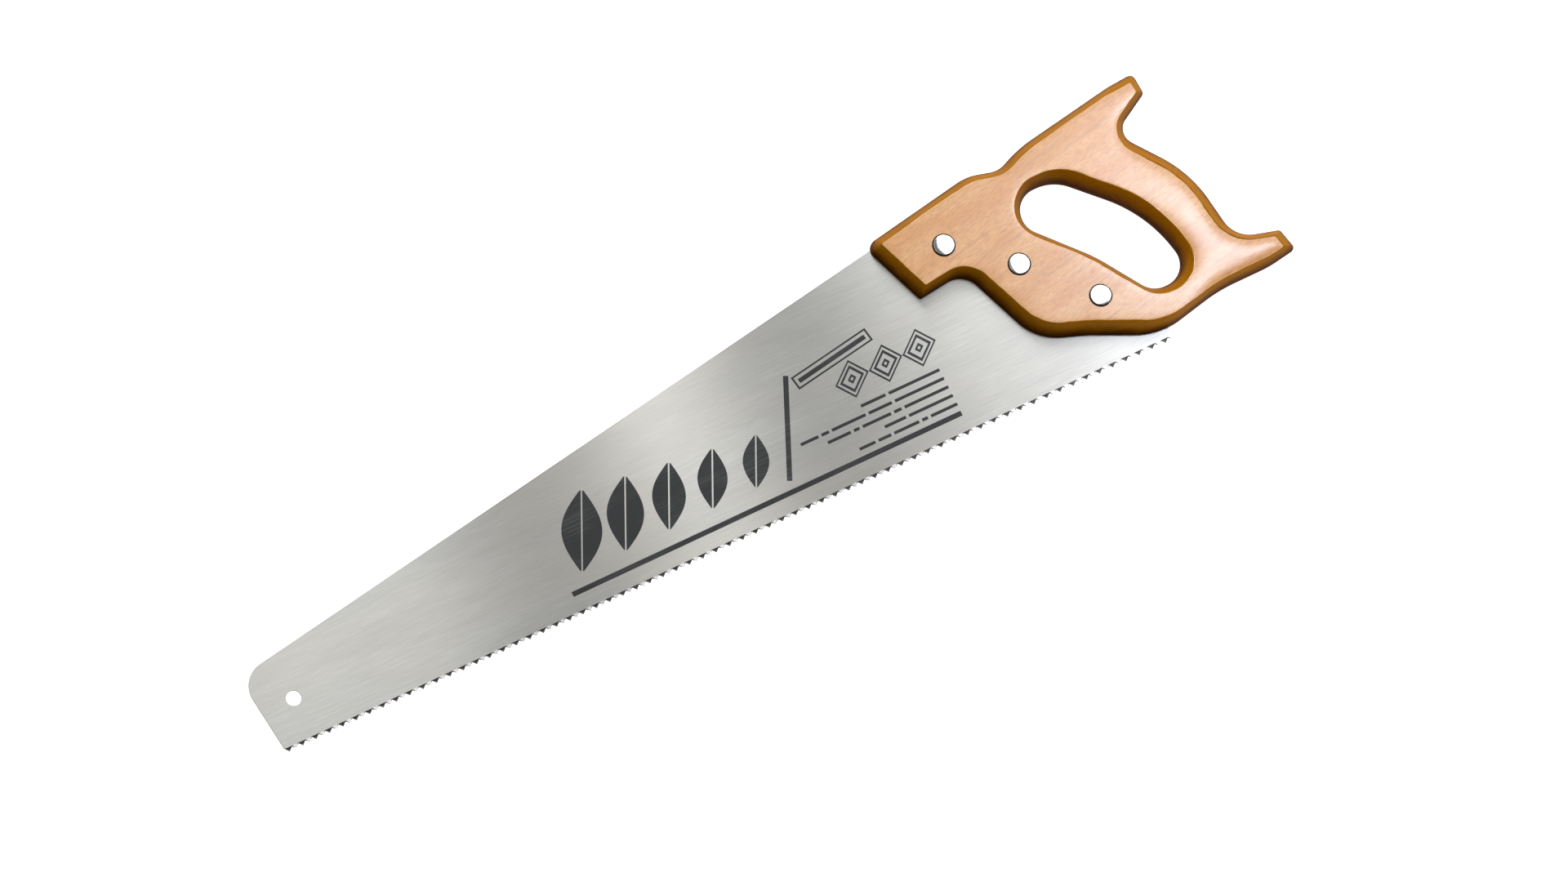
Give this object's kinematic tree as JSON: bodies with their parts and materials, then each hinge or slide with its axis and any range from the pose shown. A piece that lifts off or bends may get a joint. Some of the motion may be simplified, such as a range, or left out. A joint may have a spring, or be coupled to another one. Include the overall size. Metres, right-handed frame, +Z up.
{
  "type": "hand saw",
  "caption": "Cross-cut hand saw: tapered steel blade with a rounded toe and hang hole, bolted into a slotted wooden handle with a closed hand hole and two horns.",
  "frame": {"origin": "centre of the whole saw's bounding box, on its underside, with the saw lying flat", "axes": "+X along the teeth from toe to handle, +Y across the blade from the teeth to its back edge, +Z up through the thickness, out of the face with the plain bolt heads"},
  "size_m": [0.587, 0.1334, 0.0238],
  "materials": {
    "steel_plate": "lengthwise brushed",
    "varnished_wood": "clear gloss varnish",
    "bright_fastener": "polished"
  },
  "bodies": {
    "root": {"blade": "steel_plate", "handle": "varnished_wood", "bolt_nose": "bright_fastener", "nut_nose": "bright_fastener", "bolt_middle": "bright_fastener", "nut_middle": "bright_fastener", "bolt_heel": "bright_fastener", "nut_heel": "bright_fastener"}
  },
  "joints": []
}
